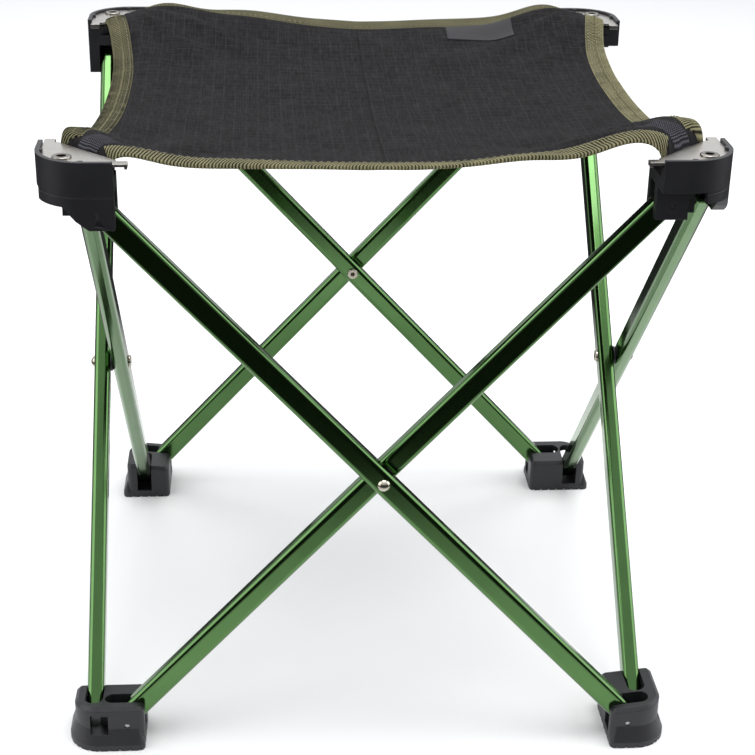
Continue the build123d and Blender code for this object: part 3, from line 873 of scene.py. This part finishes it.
    def stitches(self, side: Side) -> bpy.types.Object:
        """The half's row of stitches along the tape's inner edge, each a short bead of thread.

        Args:
            side: which half.

        Returns:
            The finished piece.
        """
        end = self.stitch_end
        runs = ((side.word, -end, end), ("front", 0.0, side.value * end), ("rear", 0.0, -side.value * end))
        phase = np.linspace(0, 2 * math.pi, self.bead_count, endpoint=False)
        along = np.linspace(-1, 1, self.bead_count)
        ball = np.sqrt(np.clip(1 + self.bead_tip - along ** 2, self.bead_tip, 1)) * self.bead_half[1]
        bead = np.stack(np.broadcast_arrays(
            along[:, None] * self.bead_half[0],
            ball[:, None] * np.cos(phase)[None],
            ball[:, None] * np.sin(phase)[None]), axis=-1)
        bead = bead.reshape(-1, 3)
        points, faces, total = [], [], 0
        for panel, start, end in runs:
            count = int(abs(end - start) * self.shape.tip[0] / self.stitch_pitch)
            edge, inward, _ = self.tape_frame(panel, start, end, count)
            step = np.gradient(edge, axis=0)
            step /= np.linalg.norm(step, axis=1, keepdims=True)
            at = edge + inward * (self.tape_width - self.stitch_inset)
            plan = at[:, None] + step[:, None] * bead[None, :, :1] + inward[:, None] * bead[None, :, 1:2]
            z = self.shape.height(plan[..., 0], plan[..., 1]) + self.stitch_lift + bead[None, :, 2]
            points.append(np.concatenate([plan, z[..., None]], axis=-1).reshape(-1, 3))
            one = tube_faces(self.bead_count, self.bead_count)
            faces.append((one[None] + (total + np.arange(count) * len(bead))[:, None, None]).reshape(-1, 4))
            total += count * len(bead)
        made = put(f"seat_stitches_{side.word}", np.concatenate(points), np.concatenate(faces))
        return self.dress(outward(made), self.thread, "olive_grosgrain", side)

    def webbing_tab(self, k: int) -> bpy.types.Object:
        """Ribbed webbing that leaves a corner's plate and is sewn on the seat, with its ribs along it.

        Args:
            k: the corner, counted as in CORNERS.

        Returns:
            The finished piece.
        """
        rows, columns = self.webbing_grid
        inward = np.linspace(-self.webbing_under, self.webbing_length[k], rows)[:, None]
        across = np.linspace(-0.5, 0.5, columns)[None] * self.webbing_width
        lx = (-self.shape.plate_sum / math.sqrt(2) + inward) / math.sqrt(2) + across / math.sqrt(2)
        ly = (-self.shape.plate_sum / math.sqrt(2) + inward) / math.sqrt(2) - across / math.sqrt(2)
        turn = k * math.pi / 2
        x = lx * math.cos(turn) - ly * math.sin(turn)
        y = lx * math.sin(turn) + ly * math.cos(turn)
        rib = 0.5 + 0.5 * np.cos(2 * math.pi * across / self.webbing_pitch)
        lift = np.clip(inward / self.webbing_rise, 0, 1)
        base = self.webbing_lift[0] + self.webbing_lift[1] * lift
        z = self.shape.height(x, y) + base + self.webbing_rib * rib * lift
        top = np.stack([x, y, z], axis=-1)
        bottom = top - [0, 0, self.webbing_thickness]
        uv = np.stack(np.broadcast_arrays(inward, across), axis=-1)
        corner = CORNERS[k]
        made = outward(put(f"webbing_tab_{corner}", *slab(top, bottom, uv)))
        made.data.materials.append(self.webbing)
        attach(made, f"corner_block_{corner}")
        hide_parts(f"corner_strap_{corner}")
        LOG.info("piece %s", made.name)
        return made

    def label(self) -> bpy.types.Object:
        """A plain woven label sewn near the rear edge."""
        columns, rows = self.label_grid
        u, v = np.meshgrid(np.linspace(-0.5, 0.5, columns), np.linspace(-0.5, 0.5, rows))
        x = self.label_at[0] + u * self.label_size[0]
        y = self.label_at[1] + v * self.label_size[1]
        z = self.shape.height(x, y) + self.label_lift
        top = np.stack([x, y, z], axis=-1)
        uv = np.stack([x, y], axis=-1)
        bottom = top - [0, 0, self.label_thickness]
        made = outward(put("seat_label_patch", *slab(top, bottom, uv)))
        return self.dress(made, self.label_cloth, "label_cloth", Side.RIGHT)

    def build(self) -> None:
        """Builds every piece of the seat."""
        for side in Side:
            sheet = self.fabric(side)
            word, sign = side.word, side.value
            tapes = [
                self.tape_stretch(f"tape_{word}", word, -1, 1, side, f"binding_{word}"),
                self.tape_stretch(f"tape_front_{word}", "front", 0, sign, side, f"binding_front_{word}"),
                self.tape_stretch(f"tape_rear_{word}", "rear", 0, -sign, side, f"binding_rear_{word}"),
            ]
            extra = tapes + [self.stitches(side)]
            if side is Side.RIGHT:
                extra.append(self.label())
        for k in range(len(CORNERS)):
            self.webbing_tab(k)


# ---------------------------------------------------------------- frame

@dataclass
class Hardware:
    """The stool's rigid nodes, which keep their CAD shape and get their finishes."""

    finishes: dict

    def dress(self) -> None:
        """Gives every rigid node its finish by its record slot."""
        slots = {p["node"]: p["material_slot"] for p in frame["record"]["subparts"]}
        for name, made in frame["nodes"].items():
            finish = self.finishes.get(slots[name])
            if finish is None:
                continue
            made.data.materials.clear()
            made.data.materials.append(finish)
            LOG.info("finish of %s: %s", name, finish.name)


# ---------------------------------------------------------------- studio

@dataclass
class Studio:
    """Pale floor, soft light and the camera."""

    camera_at: tuple = (-54.9 * MM, -823.8 * MM, 515.9 * MM)
    yaw: float = math.radians(4.296)
    pitch: float = math.radians(24.693)
    roll: float = math.radians(1.103)
    lens: float = 78.96
    sensor: float = 36.0
    clip_start: float = 0.01
    floor_half: float = 9.0
    # The floor's even grey, then the painted shade grey that reflections see far out; the painted shade
    # starts this far from the stool's centre and deepens at this rate per metre.
    floor_grey_and_painted_shade: tuple = (0.86, 0.01)
    painted_shade_start: float = 0.22
    painted_shade_rise: float = 4.5
    aim: tuple = (0.0, 0.0, 0.15)
    sky_colour: tuple = (0.95, 0.97, 1.0, 1.0)
    sky_strength: float = 0.8
    room_grey: float = 0.02
    room_front: tuple = (0.25, 2.0)
    room_top: tuple = (0.55, 3.0)
    softboxes: tuple = (
        ("top_light", (0.1, -0.1, 1.5), (1.0, 1.0), 16.0),
        ("left_light", (-1.3, -0.3, 0.7), (1.1, 1.4), 9.0),
        ("right_light", (1.3, -0.1, 0.7), (1.1, 1.4), 9.0),
        ("back_light", (0.0, 1.2, 1.6), (1.6, 0.6), 8.0))

    def camera(self) -> None:
        """Adds the camera: it looks along +Y, turned by yaw, tipped down by pitch and rolled."""
        level = math.cos(self.pitch)
        forward = Vector((math.sin(self.yaw) * level, math.cos(self.yaw) * level, -math.sin(self.pitch)))
        right = Vector((math.cos(self.yaw), -math.sin(self.yaw), 0))
        up = right.cross(forward)
        cos, sin = math.cos(self.roll), math.sin(self.roll)
        axes = (cos * right + sin * up, -sin * right + cos * up, -forward)
        data = bpy.data.cameras.new("camera")
        data.lens = self.lens
        data.sensor_width = self.sensor
        data.clip_start = self.clip_start
        made = bpy.data.objects.new("camera", data)
        bpy.context.scene.collection.objects.link(made)
        made.matrix_world = Matrix.Translation(self.camera_at) @ Matrix(axes).transposed().to_4x4()
        bpy.context.scene.camera = made

    def floor(self) -> None:
        """Adds the floor. Far from the stool its colour is painted dark for glossy rays only: painted shade
        that reflections see, as on a sweep where its lights end.
        """
        s = Shade("floor")
        at = s.place()
        flat = s.node("ShaderNodeVectorMath", {"operation": "LENGTH"}, {0: s.stretch(at, (1, 1, 0))}, "Value")
        # Painted shade mask: grows with distance from the stool's centre.
        far = ((flat - self.painted_shade_start) * self.painted_shade_rise).clamp()
        glossy = s.node("ShaderNodeLightPath", {}, {}, "Is Glossy Ray")
        # Glossy rays see the painted shade grey far out; all other rays see the even pale grey.
        colour = s.mix(far * glossy, grey(self.floor_grey_and_painted_shade[0]), grey(self.floor_grey_and_painted_shade[1]))
        square = np.array([[-1, -1, 0], [1, -1, 0], [1, 1, 0], [-1, 1, 0]]) * self.floor_half
        made = put("floor", square, np.array([[0, 1, 2, 3]]))
        made.data.materials.append(s.done(Base_Color=colour, Roughness=0.9, Specular_IOR_Level=0.1))

    def softbox(self, name: str, at: tuple, size: tuple, power: float) -> None:
        """Adds an area light that points at the middle of the stool.

        Args:
            name: its name.
            at: its place, in metres.
            size: its width and height, in metres.
            power: in watts.
        """
        data = bpy.data.lights.new(name, "AREA")
        data.shape = "RECTANGLE"
        data.size, data.size_y = size
        data.energy = power
        made = bpy.data.objects.new(name, data)
        bpy.context.scene.collection.objects.link(made)
        made.location = at
        made.rotation_euler = (Vector(self.aim) - Vector(at)).to_track_quat("-Z", "Y").to_euler()

    def sky(self) -> None:
        """Adds an even pale surround. In reflections it darkens low in front, where the room is."""
        s = Shade("studio", surround=True)
        at = s.place("Generated")
        forward, height = s.part(at, "Y"), s.part(at, "Z")
        front = ((self.room_front[0] - forward) * self.room_front[1]).clamp()
        room = front * ((self.room_top[0] - height) * self.room_top[1]).clamp()
        glossy = s.node("ShaderNodeLightPath", {}, {}, "Is Glossy Ray")
        colour = s.mix(room * glossy, self.sky_colour, grey(self.room_grey))
        s.finish(s.node("ShaderNodeBackground", {}, {"Color": colour, "Strength": self.sky_strength}))
        bpy.context.scene.world = s.owner

    def build(self) -> None:
        """Builds the studio."""
        self.camera()
        self.floor()
        self.sky()
        for softbox in self.softboxes:
            self.softbox(*softbox)
        bpy.context.scene.view_settings.view_transform = "Standard"


def main() -> None:
    """Builds the stool's pieces and the studio."""
    logging.basicConfig(level=logging.INFO, format="%(name)s: %(message)s")
    nylon = Nylon().material()
    nickel = Bright().material()
    rivet = Bright("rivet_nickel", (0.34, 0.32, 0.29, 1.0), (0.20, 0.19, 0.17, 1.0), 0.14)
    aluminium = Bright("bright_aluminium", (0.62, 0.58, 0.48, 1.0), (0.44, 0.41, 0.34, 1.0), 0.14)
    steel = Bright("pin_steel", grey(0.5), grey(0.32), 0.3)
    webbing = Grosgrain(
        "black_webbing", dark=(0.008, 0.008, 0.010, 1.0), light=(0.075, 0.072, 0.085, 1.0),
        pitch=0.9 * MM, slant=0.0, edge=20.0 * MM)
    Hardware({
        "green_anodised_tube": Anodised().material(),
        "black_nylon": nylon,
        "washer_plastic": nylon,
        "nickel_plate": nickel,
        "nickel_rivet": rivet.material(),
        "bright_rivet": aluminium.material(),
        "steel_pin": steel.material(),
    }).dress()
    Seat(
        shape=SeatShape(),
        cloth=Ripstop().material(),
        tape=Grosgrain().material(),
        webbing=webbing.material(),
        thread=Cloth("olive_thread", (0.22, 0.21, 0.14, 1.0)).material(),
        label_cloth=Cloth("label_weave", (0.021, 0.020, 0.024, 1.0)).material(),
    ).build()
    Studio().build()


if __name__ == "__main__":
    main()
